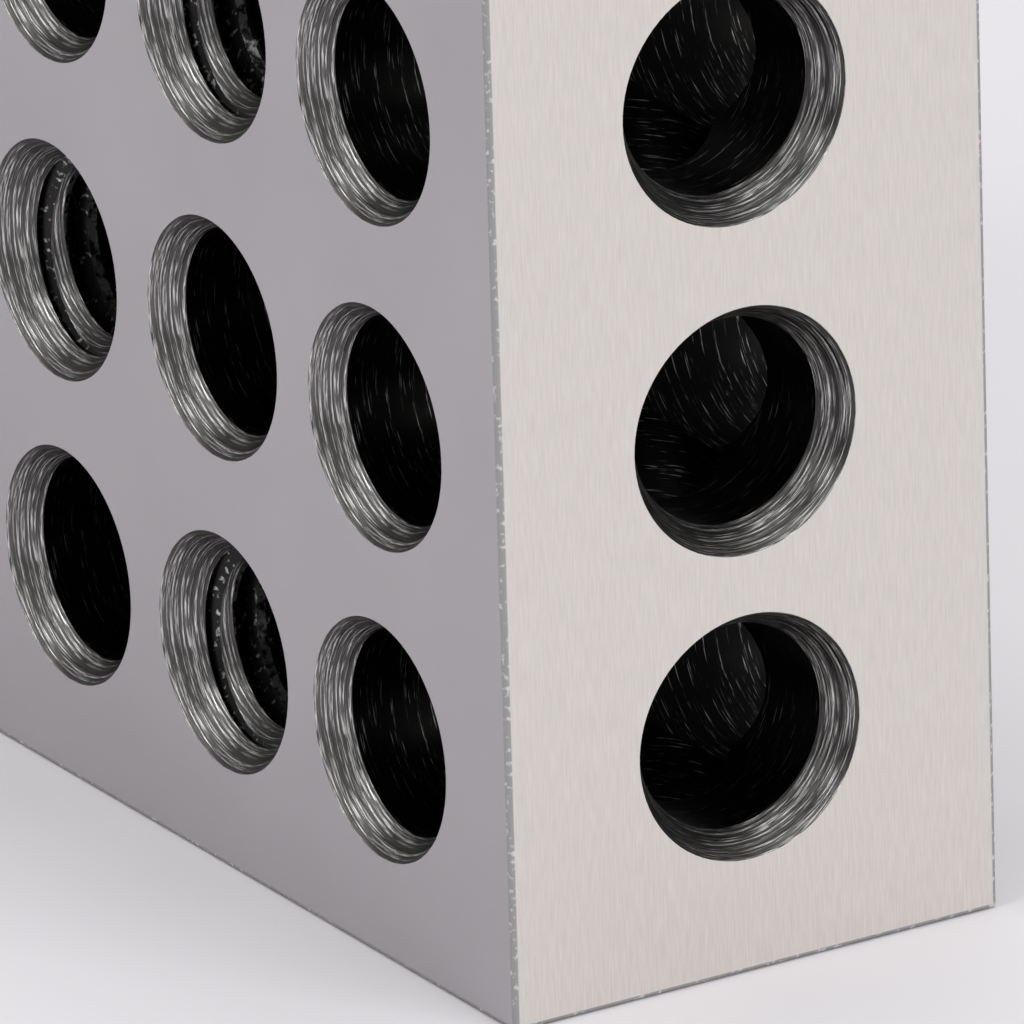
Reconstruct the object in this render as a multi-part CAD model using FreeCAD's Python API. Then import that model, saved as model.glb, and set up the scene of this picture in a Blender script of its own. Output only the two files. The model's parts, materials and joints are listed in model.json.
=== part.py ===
import FreeCAD, Part
import math
import os

# Machinist's setup block, the 1-2-3 size: one solid of hardened, ground steel, bored right
# through on all three axes so that it can be bolted up either way. It stands here on one
# of its long narrow faces. Millimetres. Origin at the middle of the bottom face, +X through
# the thickness, +Y along the length, +Z up.

# Overall size: one, two and three inches
thickness = 25.4
height = 50.8
length = 76.2
edge_break = 0.25  # width of the small bevel stoned along every outer edge

# Bores: a grid through the wide faces, and a row through each pair of narrow faces
columns = 5
rows = 3
column_pitch = 13.8
row_pitch = 15.0
plain_bore_diameter = 9.525
tap_drill_diameter = 7.94  # core of a 3/8-16 UNC thread

# Where a drill wandered off the grid, and how far
cross_bore_drift = {(0, 0): (0.35, 0), (0, 1): (-0.1, -0.15), (2, 1): (0.2, -0.3)}  # +Y, +Z
end_bore_drift = {0: (-0.15, 0.7), 2: (-0.15, 0.35)}  # +X, +Z

# Bevelled mouth at both ends of every bore
mouth_diameter = 11.25
end_mouth_diameter = 11.5  # the three lengthwise bores were sunk a little deeper
mouth_angle = 60.0  # included angle, degrees
cutter_overrun = 1.0  # how far outside the face a cutter starts

ALONG_X = FreeCAD.Vector(1, 0, 0)
ALONG_Y = FreeCAD.Vector(0, 1, 0)
ALONG_Z = FreeCAD.Vector(0, 0, 1)


def centred(count, pitch, middle):
    """Places at an even pitch, as many on one side of the middle as on the other."""
    return [middle + (i - (count - 1) / 2) * pitch for i in range(count)]


column_y = centred(columns, column_pitch, 0)
row_z = centred(rows, row_pitch, height / 2)


def is_tapped(column, row):
    """Threads stand like the five spots on a die: the centre, and four around it."""
    mid_column = columns // 2
    mid_row = rows // 2
    if row == mid_row:
        return column == mid_column
    return abs(column - mid_column) == 1


def cutter(diameter, mouth, depth, start, direction):
    """Drill and two countersinks as one turned solid, from the face at start to the far one."""
    bore_r = diameter / 2
    mouth_r = mouth / 2
    half_angle = math.radians(mouth_angle / 2)
    mouth_depth = (mouth_r - bore_r) / math.tan(half_angle)
    outer_r = mouth_r + cutter_overrun * math.tan(half_angle)
    profile = [
        (0, -cutter_overrun),
        (outer_r, -cutter_overrun),
        (bore_r, mouth_depth),
        (bore_r, depth - mouth_depth),
        (outer_r, depth + cutter_overrun),
        (0, depth + cutter_overrun),
    ]
    points = [FreeCAD.Vector(r, 0, z) for r, z in profile]
    outline = Part.makePolygon(points + points[:1])
    turned = Part.Face(outline).revolve(FreeCAD.Vector(), ALONG_Z, 360)
    turned.Placement = FreeCAD.Placement(start, FreeCAD.Rotation(ALONG_Z, direction))
    return turned


# Blank: sawn bar ground to size, with its edges broken
corner = FreeCAD.Vector(-thickness / 2, -length / 2, 0)
blank = Part.makeBox(thickness, length, height, corner)
blank = blank.makeChamfer(edge_break, blank.Edges)

# Bores through the wide faces: the plain ones take a bolt, the tapped ones hold it
cutters = []
for column, y in enumerate(column_y):
    for row, z in enumerate(row_z):
        diameter = tap_drill_diameter if is_tapped(column, row) else plain_bore_diameter
        along, up = cross_bore_drift.get((column, row), (0, 0))
        start = FreeCAD.Vector(-thickness / 2, y + along, z + up)
        cutters.append(cutter(diameter, mouth_diameter, thickness, start, ALONG_X))

# Bores down through the long narrow faces, one in each column
for y in column_y:
    start = FreeCAD.Vector(0, y, 0)
    cutters.append(cutter(plain_bore_diameter, mouth_diameter, height, start, ALONG_Z))

# Bores right along the block through the end faces, one in each row
for row, z in enumerate(row_z):
    across, up = end_bore_drift.get(row, (0, 0))
    start = FreeCAD.Vector(across, -length / 2, z + up)
    cutters.append(cutter(plain_bore_diameter, end_mouth_diameter, length, start, ALONG_Y))

setup_block = blank.cut(cutters)

os.makedirs("parts", exist_ok=True)
setup_block.exportStep("parts/setup_block.step")
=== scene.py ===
import json
import math

import bmesh
import bpy
from mathutils import Matrix, Quaternion, Vector

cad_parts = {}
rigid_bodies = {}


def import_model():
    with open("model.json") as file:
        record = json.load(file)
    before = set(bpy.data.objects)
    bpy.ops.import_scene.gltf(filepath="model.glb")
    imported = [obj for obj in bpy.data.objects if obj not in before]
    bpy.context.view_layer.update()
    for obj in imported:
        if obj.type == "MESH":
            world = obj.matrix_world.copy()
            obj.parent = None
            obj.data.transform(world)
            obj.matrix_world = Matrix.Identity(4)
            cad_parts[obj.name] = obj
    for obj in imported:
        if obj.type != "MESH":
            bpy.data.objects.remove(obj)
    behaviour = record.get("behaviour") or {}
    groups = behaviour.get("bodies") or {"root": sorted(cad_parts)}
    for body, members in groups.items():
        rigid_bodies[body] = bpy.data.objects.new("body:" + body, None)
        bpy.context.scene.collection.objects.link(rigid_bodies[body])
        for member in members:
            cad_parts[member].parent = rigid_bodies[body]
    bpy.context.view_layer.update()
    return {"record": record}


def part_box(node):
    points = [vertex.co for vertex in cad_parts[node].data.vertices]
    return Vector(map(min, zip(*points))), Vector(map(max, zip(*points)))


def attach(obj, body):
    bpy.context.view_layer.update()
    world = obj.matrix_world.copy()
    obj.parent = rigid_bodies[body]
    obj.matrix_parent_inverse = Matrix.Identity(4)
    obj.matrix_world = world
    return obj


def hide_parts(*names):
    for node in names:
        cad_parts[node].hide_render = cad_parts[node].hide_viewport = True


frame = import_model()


# Blank: a bar of hardened tool steel, ground square on all six faces. A stone has taken
# the sharp edge off all round, so each edge is narrowly rounded.
MM = 0.001
INCH = 25.4 * MM
EDGE_BREAK = 0.25 * MM
EDGE_STEPS = 3
low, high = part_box("setup_block")
size = high - low
middle = (low + high) / 2

blank = bpy.data.meshes.new("ground_blank")
form = bmesh.new()
bmesh.ops.create_cube(form, size=1, matrix=Matrix.Translation(middle) @ Matrix.Diagonal((*size, 1)))
bmesh.ops.bevel(
    form, geom=form.edges, offset=EDGE_BREAK, segments=EDGE_STEPS, profile=0.5, affect="EDGES"
)

# Seams through the rows of bores, so that no face has a hole inside it
mounts = {mount["name"]: mount for mount in frame["record"]["mounts"]}
row_marks = [mounts["plain_5_" + row] for row in ("low", "mid", "high")]
column_marks = [mounts["down_bore_%d" % column] for column in (1, 2, 3, 4, 5)]
for line, marks in (((1, 0, 0), row_marks[:1]), ((0, 1, 0), column_marks), ((0, 0, 1), row_marks)):
    for mark in marks:
        everything = [*form.verts, *form.edges, *form.faces]
        bmesh.ops.bisect_plane(form, geom=everything, plane_co=mark["pos_m"], plane_no=line)

form.to_mesh(blank)
form.free()


# Steel: the same metal in several finishes. The wide faces are lapped to a matt mid grey and painted
# darker than the ends, partly for that finish and partly as painted shade. The ends are surface ground
# with the grain standing upright. What a cutter has turned is painted dark as painted shade, with bright
# lines painted as glints along the ridges where the tool tore the metal.
class Wire:
    """A socket of a node tree. Arithmetic on wires adds the Math nodes that work it out."""

    def __init__(self, tree, socket):
        self.tree = tree
        self.socket = socket

    def __getitem__(self, name):
        """Another output of the same node."""
        return Wire(self.tree, pick(self.socket.node.outputs, name))

    def math(self, operation, *others):
        return add(self.tree, "ShaderNodeMath", {"operation": operation}, dict(enumerate((self, *others))))

    def __add__(self, other):
        return self.math("ADD", other)

    def __sub__(self, other):
        return self.math("SUBTRACT", other)

    def __mul__(self, other):
        return self.math("MULTIPLY", other)

    def __truediv__(self, other):
        return self.math("DIVIDE", other)

    def __rsub__(self, other):
        return self * -1 + other

    def __neg__(self):
        return self * -1

    __radd__ = __add__

    def least(self, other):
        return self.math("MINIMUM", other)

    def most(self, other):
        return self.math("MAXIMUM", other)

    def between(self, start, end):
        """0 at the start, 1 at the end, straight between them and level outside."""
        return ((self - start) / (end - start)).most(0).least(1)


def pick(sockets, name):
    """A node's socket by number, or by name among those in use."""
    if isinstance(name, int):
        return sockets[name]
    return next(socket for socket in sockets if socket.name == name and socket.enabled)


def add(tree, kind, settings=None, inputs=None):
    """Adds a node: settings first, then a value or a wire for each input. Gives its first output."""
    node = tree.nodes.new(kind)
    for name, value in (settings or {}).items():
        setattr(node, name, value)
    for name, value in (inputs or {}).items():
        socket = pick(node.inputs, name)
        if isinstance(value, Wire):
            tree.links.new(value.socket, socket)
        else:
            socket.default_value = value
    return Wire(tree, next((socket for socket in node.outputs if socket.enabled), None))


def material(name):
    """A new material and its empty node tree."""
    made = bpy.data.materials.new(name)
    made.use_nodes = True
    made.node_tree.nodes.clear()
    return made, made.node_tree


def surface(tree, colour, roughness, metallic, height=None, relief=0.0):
    """The finish of a material, with its bumps given in metres."""
    values = {"Base Color": colour, "Roughness": roughness, "Metallic": metallic}
    if height is not None:
        values["Normal"] = add(tree, "ShaderNodeBump", None, {"Height": height, "Distance": relief})
    finish = add(tree, "ShaderNodeBsdfPrincipled", None, values)
    add(tree, "ShaderNodeOutputMaterial", None, {"Surface": finish})


def blend(tree, amount, first, second):
    """A colour between two others."""
    return add(
        tree, "ShaderNodeMix", {"data_type": "RGBA"}, {"Factor": amount, "A": first, "B": second}
    )


def grain(tree, place, scale, detail):
    """Noise about 0.5, so many cells to the unit along each axis."""
    stretched = add(tree, "ShaderNodeVectorMath", {"operation": "MULTIPLY"}, {0: place, 1: scale})
    return add(tree, "ShaderNodeTexNoise", None, {"Vector": stretched, "Scale": 1.0, "Detail": detail})


def warm(level, warmth=0.0):
    """A grey of that level with a little more red than blue."""
    return (level * (1 + warmth), level, level * (1 - warmth), 1)


# Ground faces: grain upright on the ends, clouds on the wide faces, specks on the bevels
ground_steel, tree = material("ground_face")
place = add(tree, "ShaderNodeTexCoord")["Object"]
upright = grain(tree, place, (11000, 11000, 700), 3.0)
cloud = grain(tree, place, (90, 90, 90), 3.0)
tooth = grain(tree, place, (7000, 7000, 7000), 1.0)
pitted = grain(tree, place, (3500, 3500, 3500), 2.0).between(0.57, 0.68)
at = add(tree, "ShaderNodeSeparateXYZ", None, {0: place})
gap_x = size.x / 2 - (at["X"] - middle.x).math("ABSOLUTE")
gap_y = size.y / 2 - (at["Y"] - middle.y).math("ABSOLUTE")
gap_z = size.z / 2 - (at["Z"] - middle.z).math("ABSOLUTE")
to_edge = gap_x.least(gap_y).most(gap_x.most(gap_y).least(gap_z))
on_wide = 1 - gap_x.between(0.01 * MM, 0.03 * MM)
on_end = 1 - on_wide
on_break = 1 - to_edge.between(EDGE_BREAK - 0.03 * MM, EDGE_BREAK + 0.02 * MM)
end_colour = blend(tree, upright.between(0.3, 0.7), warm(0.67, 0.05), warm(0.75, 0.05))
# The wide faces are painted a darker grey than the ends, partly their lapped finish and partly painted
# shade.
wide_colour_with_painted_shade = blend(tree, cloud.between(0.3, 0.7), (0.49, 0.47, 0.485, 1), (0.52, 0.50, 0.515, 1))
colour = blend(tree, on_end, wide_colour_with_painted_shade, end_colour)
colour = blend(tree, on_break, colour, blend(tree, pitted, warm(0.38), warm(0.7)))
height = (upright - 0.5) * on_end + (tooth - 0.5) * 0.5 + pitted * on_break
surface(tree, colour, 0.5 + (tooth - 0.5) * 0.1, 0.75, height, 0.002 * MM)

# Turned surfaces carry (cosine, sine, depth in millimetres) of each point about its bore,
# so that the tool marks run round it and break up as they go.
mouth_steel, tree = material("turned_mouth")
turning = add(tree, "ShaderNodeAttribute", {"attribute_name": "turning"})["Vector"]
broad = grain(tree, turning, (1.5, 1.5, 5.0), 3.0)
ridges = grain(tree, turning, (1.3, 1.3, 11.0), 4.0)
hairs = grain(tree, turning, (6, 6, 30), 3.0)
# The countersinks' dark base is painted shade in the hollow, and the thin bright lines along the ridges
# are painted glints.
painted_glints = ridges.between(0.48, 0.6) * hairs.between(0.42, 0.58)
colour = blend(tree, painted_glints, blend(tree, broad, warm(0.05, 0.03), warm(0.18, 0.03)), warm(0.9, 0.02))
surface(tree, colour, 0.32, 1.0, ridges * 0.8 + hairs * 0.2, 0.05 * MM)

bore_steel, tree = material("drilled_bore")
turning = add(tree, "ShaderNodeAttribute", {"attribute_name": "turning"})["Vector"]
ridges = grain(tree, turning, (1.5, 1.5, 8.0), 4.0)
hairs = grain(tree, turning, (5, 5, 26), 3.0)
# The bore wall's near-black base is painted shade deep in the bore, and its bright broken scratches are
# painted glints.
painted_glints = ridges.between(0.55, 0.64) * hairs.between(0.52, 0.64)
colour = blend(tree, painted_glints, warm(0.012, 0.05), warm(0.6))
surface(tree, colour, 0.35, 1.0, ridges * 0.6 + hairs * 0.4, 0.03 * MM)

# The tap's grooves are painted near black as painted shade, with bright specks as painted glints, and the
# crests between them carry broken painted highlights over the bumps of torn metal
thread_steel, tree = material("tapped_thread")
place = add(tree, "ShaderNodeTexCoord")["Object"]
torn_metal_and_glints = grain(tree, place, (3000, 3000, 3000), 3.0)
colour = blend(tree, torn_metal_and_glints.between(0.6, 0.7), warm(0.03), warm(0.5))
surface(tree, colour, 0.3, 1.0, torn_metal_and_glints, 0.02 * MM)

crest_steel, tree = material("thread_crest")
place = add(tree, "ShaderNodeTexCoord")["Object"]
torn_metal_and_glints = grain(tree, place, (2500, 2500, 2500), 3.0)
# The crests carry bright patches as painted highlights over a dark base.
colour = blend(tree, torn_metal_and_glints.between(0.42, 0.55), warm(0.1), warm(0.9))
surface(tree, colour, 0.28, 1.0, torn_metal_and_glints, 0.03 * MM)


# Bores: drilled right through, then countersunk from both faces with a 60 degree tool that
# chattered and left broken rings. Five of the cross bores are drilled to the core of a
# 3/8-16 thread. The record's mounts say where each bore is and how wide.
TURN_STEPS = 80
MOUTH_RINGS = 10
WALL_RINGS = 2
OVERRUN = 1.0 * MM
SLOPE = math.tan(math.radians(30))
WALL, MOUTH, THREAD, CREST = 1, 2, 3, 4


def geometry_tree(name, inputs):
    """A geometry tree with a named input for each size. Gives the tree and its input wires."""
    made = bpy.data.node_groups.new(name, "GeometryNodeTree")
    made.interface.new_socket("Geometry", in_out="INPUT", socket_type="NodeSocketGeometry")
    for label, kind in inputs.items():
        made.interface.new_socket(label, in_out="INPUT", socket_type="NodeSocket" + kind)
    made.interface.new_socket("Geometry", in_out="OUTPUT", socket_type="NodeSocketGeometry")
    return made, add(made, "NodeGroupInput")


def shaped(name, mesh, made, inputs):
    """A new object that runs a mesh through a geometry tree with these inputs."""
    piece = bpy.data.objects.new(name, mesh)
    modifier = piece.modifiers.new(made.name, "NODES")
    modifier.node_group = made
    for item in made.interface.items_tree:
        if item.in_out == "INPUT" and item.name in inputs:
            modifier[item.identifier] = inputs[item.name]
    return piece


def xyz(tree, x=0.0, y=0.0, z=0.0):
    """A vector made of three numbers or wires."""
    return add(tree, "ShaderNodeCombineXYZ", None, {"X": x, "Y": y, "Z": z})


def labelled(tree, shape, cut):
    """Notes on each face of a cutter what it leaves behind in the steel."""
    return add(
        tree,
        "GeometryNodeStoreNamedAttribute",
        {"data_type": "INT", "domain": "FACE"},
        {"Geometry": shape, "Name": "cut", "Value": cut},
    )


def on_points(tree, points, tool, axis):
    """The tool at every point, lying along the axis."""
    aim = add(tree, "FunctionNodeAlignRotationToVector", {"axis": "Z"}, {"Vector": axis})
    placed = add(
        tree,
        "GeometryNodeInstanceOnPoints",
        None,
        {"Points": points, "Instance": tool, "Rotation": aim},
    )
    return add(tree, "GeometryNodeRealizeInstances", None, {"Geometry": placed})


# The cutter: a bar whose rings of points are moved in and along to follow the countersinks
# and the wall, with a wobble in the rings of each mouth
bore_cutters, given = geometry_tree(
    "bore_cutters",
    {
        "Depth": "Float",
        "Radius": "Float",
        "Mouth Radius": "Float",
        "Chatter": "Float",
        "Axis": "Vector",
        "Wall Cut": "Int",
    },
)
tree = bore_cutters
rings = 1 + MOUTH_RINGS + WALL_RINGS
bar = add(
    tree,
    "GeometryNodeMeshCylinder",
    {"fill_type": "NGON"},
    {"Vertices": TURN_STEPS, "Side Segments": 2 * rings, "Radius": 1.0, "Depth": 2.0},
)
place = add(tree, "ShaderNodeSeparateXYZ", None, {0: add(tree, "GeometryNodeInputPosition")})
side = place["Z"].math("SIGN")
ring = (1 - place["Z"].math("ABSOLUTE")) * rings
mouth_depth = (given["Mouth Radius"] - given["Radius"]) / SLOPE
down_mouth = ring.between(1, 1 + MOUTH_RINGS)
down_wall = ring.between(1 + MOUTH_RINGS, rings)
into = (ring.between(0, 1) - 1) * OVERRUN + down_mouth * mouth_depth
into = into + down_wall * (given["Depth"] / 2 - mouth_depth)
wobble = grain(tree, xyz(tree, place["X"], place["Y"], ring * side), (1.6, 1.6, 3.7), 2.0)
in_rings = ring.math("GREATER_THAN", 1.5) * ring.math("LESS_THAN", MOUTH_RINGS + 0.5)
cut_back = (wobble - 0.5) * in_rings * given["Chatter"]
radius = (given["Mouth Radius"] - into * SLOPE).most(given["Radius"]) + cut_back
moved = xyz(tree, place["X"] * radius, place["Y"] * radius, side * (given["Depth"] / 2 - into))
marked = add(
    tree,
    "GeometryNodeStoreNamedAttribute",
    {"data_type": "FLOAT_VECTOR", "domain": "CORNER"},
    {"Geometry": bar, "Name": "turning", "Value": xyz(tree, place["X"], place["Y"], into / MM)},
)
turned = add(tree, "GeometryNodeSetPosition", None, {"Geometry": marked, "Position": moved})
place = add(tree, "ShaderNodeSeparateXYZ", None, {0: add(tree, "GeometryNodeInputPosition")})
in_mouth = place["Z"].math("ABSOLUTE").math("GREATER_THAN", given["Depth"] / 2 - mouth_depth)
tool = labelled(tree, turned, given["Wall Cut"] + in_mouth * (MOUTH - given["Wall Cut"]))
made = on_points(tree, given["Geometry"], tool, given["Axis"])
add(tree, "NodeGroupOutput", None, {"Geometry": made})


# Threads: a right-hand tap, 16 turns to the inch, cuts a 60 degree groove with a narrow flat
# at its root. The tool is a trapezium swept up a spiral, and its inner side lies within the
# bore, so that it cuts clean through the wall.
THREAD_PITCH = INCH / 16
MAJOR_RADIUS = INCH * 3 / 16
CLEAR = 0.25 * MM
SWEEP_CORE = 3.7 * MM
tap_grooves, given = geometry_tree(
    "tap_grooves", {"Length": "Float", "Core Radius": "Float", "Axis": "Vector"}
)
tree = tap_grooves
root = THREAD_PITCH / 16
path_radius = (MAJOR_RADIUS + SWEEP_CORE) / 2
path = add(
    tree,
    "GeometryNodeCurveSpiral",
    None,
    {
        "Resolution": TURN_STEPS,
        "Rotations": given["Length"] / THREAD_PITCH,
        "Start Radius": path_radius,
        "End Radius": path_radius,
        "Height": given["Length"],
        "Reverse": True,
    },
)
path = add(tree, "GeometryNodeSetCurveNormal", {"mode": "Z_UP"}, {"Curve": path})
outer = MAJOR_RADIUS - path_radius
inner = given["Core Radius"] - CLEAR - path_radius
opening = root + (MAJOR_RADIUS - given["Core Radius"] + CLEAR) * SLOPE
section = add(
    tree,
    "GeometryNodeCurvePrimitiveQuadrilateral",
    {"mode": "POINTS"},
    {
        "Point 1": xyz(tree, outer, -root),
        "Point 2": xyz(tree, outer, root),
        "Point 3": xyz(tree, inner, opening),
        "Point 4": xyz(tree, inner, -opening),
    },
)
swept = add(
    tree, "GeometryNodeCurveToMesh", None, {"Curve": path, "Profile Curve": section, "Fill Caps": True}
)
down = xyz(tree, z=given["Length"] * -0.5)
swept = add(tree, "GeometryNodeTransform", None, {"Geometry": swept, "Translation": down})
made = on_points(tree, given["Geometry"], labelled(tree, swept, THREAD), given["Axis"])
add(tree, "NodeGroupOutput", None, {"Geometry": made})


# Machining: one set of cutters for each kind of bore and each direction. All of them are
# taken from the blank in one cut, and each new face takes the finish its cutter leaves.
CHATTER = 0.14 * MM
SHARP_FROM = math.radians(12)
cutters = bpy.data.collections.new("cutters")
bpy.context.scene.collection.children.link(cutters)
for label, kind, line in (
    ("cross_bores", "bore", Vector((1, 0, 0))),
    ("tapped_bores", "threaded_hole", Vector((1, 0, 0))),
    ("long_bores", "bore", Vector((0, 1, 0))),
    ("down_bores", "bore", Vector((0, 0, 1))),
):
    bores = [m for m in mounts.values() if m["kind"] == kind and abs(Vector(m["axis"]).dot(line)) > 0.5]
    depth = size.dot(line)
    radius = bores[0]["dims"]["r_mm"] * MM
    wall = bores[0]["dims"]["length_mm"] * MM
    points = bpy.data.meshes.new(label)
    points.from_pydata([Vector(m["pos_m"]) for m in bores], [], [])
    values = {
        "Depth": depth,
        "Radius": radius,
        "Mouth Radius": radius + (depth - wall) / 2 * SLOPE,
        "Chatter": CHATTER,
        "Axis": line,
        "Wall Cut": CREST if kind == "threaded_hole" else WALL,
    }
    cutters.objects.link(shaped(label, points, bore_cutters, values))
    if kind == "threaded_hole":
        values = {"Length": depth, "Core Radius": radius, "Axis": line}
        cutters.objects.link(shaped("tap_grooves", points, tap_grooves, values))

bored_block, given = geometry_tree("bored_block", {"Cutters": "Collection"})
tree = bored_block
tools = add(
    tree,
    "GeometryNodeCollectionInfo",
    {"transform_space": "ORIGINAL"},
    {"Collection": given["Cutters"], "Separate Children": True},
)
shape = add(
    tree,
    "GeometryNodeMeshBoolean",
    {"operation": "DIFFERENCE", "solver": "MANIFOLD"},
    {"Mesh 1": given["Geometry"], "Mesh 2": tools},
)
shape = add(tree, "GeometryNodeRealizeInstances", None, {"Geometry": shape})
shape = add(tree, "GeometryNodeSetMaterial", None, {"Geometry": shape, "Material": ground_steel})
cut = add(tree, "GeometryNodeInputNamedAttribute", {"data_type": "INT"}, {"Name": "cut"})
finishes = ((WALL, bore_steel), (MOUTH, mouth_steel), (THREAD, thread_steel), (CREST, crest_steel))
for number, steel in finishes:
    shape = add(
        tree,
        "GeometryNodeSetMaterial",
        None,
        {"Geometry": shape, "Selection": cut.math("COMPARE", number, 0.5), "Material": steel},
    )
add(tree, "NodeGroupOutput", None, {"Geometry": shape})

worked = shaped("worked_block", blank, bored_block, {"Cutters": cutters})
bpy.context.scene.collection.objects.link(worked)
graph = bpy.context.evaluated_depsgraph_get()
steel_mesh = bpy.data.meshes.new_from_object(worked.evaluated_get(graph))
for piece in [worked, *cutters.objects]:
    bpy.data.objects.remove(piece)
bpy.data.collections.remove(cutters)
steel_mesh.attributes.remove(steel_mesh.attributes["cut"])
steel_mesh.shade_smooth()
steel_mesh.set_sharp_from_angle(angle=SHARP_FROM)
block = bpy.data.objects.new("setup_block_steel", steel_mesh)
bpy.context.scene.collection.objects.link(block)
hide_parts("setup_block")
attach(block, "root")


# Floor: a sheet of matt, pale paper under the block. It is wide enough to reach past
# every view, so the block always stands on it and throws its shadow there.
floor_paper, tree = material("pale_paper")
surface(tree, (0.82, 0.80, 0.825, 1), 0.9, 0.0)
REACH = 6.0
sheet = bpy.data.meshes.new("floor")
corners = [(-REACH, -REACH), (REACH, -REACH), (REACH, REACH), (-REACH, REACH)]
sheet.from_pydata([(x, y, low.z) for x, y in corners], [], [range(4)])
sheet.materials.append(floor_paper)
floor = bpy.data.objects.new("floor", sheet)
bpy.context.scene.collection.objects.link(floor)


# Light: one soft box in front of the end face, a weaker one at the left and a broad one
# overhead, in an evenly lit, pale room.
LAMP_DISTANCE = 1.8


def soft_box(name, towards, width, level):
    """A square lamp aimed at the block, whose level is the white it would give a facing wall."""
    data = bpy.data.lights.new(name, "AREA")
    data.shape = "SQUARE"
    data.size = width
    data.energy = level * (math.pi * LAMP_DISTANCE) ** 2
    lamp = bpy.data.objects.new(name, data)
    direction = Vector(towards).normalized()
    lamp.location = middle + direction * LAMP_DISTANCE
    lamp.rotation_mode = "QUATERNION"
    lamp.rotation_quaternion = direction.to_track_quat("Z", "Y")
    bpy.context.scene.collection.objects.link(lamp)


soft_box("key", (0.15, -0.85, 0.55), 1.2, 0.42)
soft_box("kicker", (-0.75, -0.1, 0.65), 0.5, 0.15)
soft_box("overhead", (0.0, 0.1, 1.0), 1.4, 0.45)

room = bpy.data.worlds.new("room")
room.use_nodes = True
room.node_tree.nodes.clear()
tree = room.node_tree
light = add(tree, "ShaderNodeBackground", None, {"Color": (0.98, 0.98, 1.0, 1), "Strength": 0.38})
add(tree, "ShaderNodeOutputWorld", None, {"Surface": light})
bpy.context.scene.world = room


# Camera: a long lens, looking down a little on the corner between the end face and the
# wide face, and turned slightly about its own axis.
AZIMUTH = math.radians(31.252)
ELEVATION = math.radians(20.301)
ROLL = math.radians(-1.697)
DISTANCE = 698.54 * MM
AIM_FORWARD = 1.036 * MM
AIM_HEIGHT = 24.727 * MM
SENSOR_WIDTH = 36
LENS = 566.736
back = Vector((-math.sin(AZIMUTH), -math.cos(AZIMUTH), math.tan(ELEVATION))).normalized()
data = bpy.data.cameras.new("camera")
data.sensor_width = SENSOR_WIDTH
data.lens = LENS
camera = bpy.data.objects.new("camera", data)
camera.location = Vector((low.x, low.y - AIM_FORWARD, AIM_HEIGHT)) + back * DISTANCE
camera.rotation_mode = "QUATERNION"
camera.rotation_quaternion = (-back).to_track_quat("-Z", "Y") @ Quaternion((0, 0, 1), ROLL)
bpy.context.scene.collection.objects.link(camera)
bpy.context.scene.camera = camera
bpy.context.scene.view_settings.view_transform = "Standard"
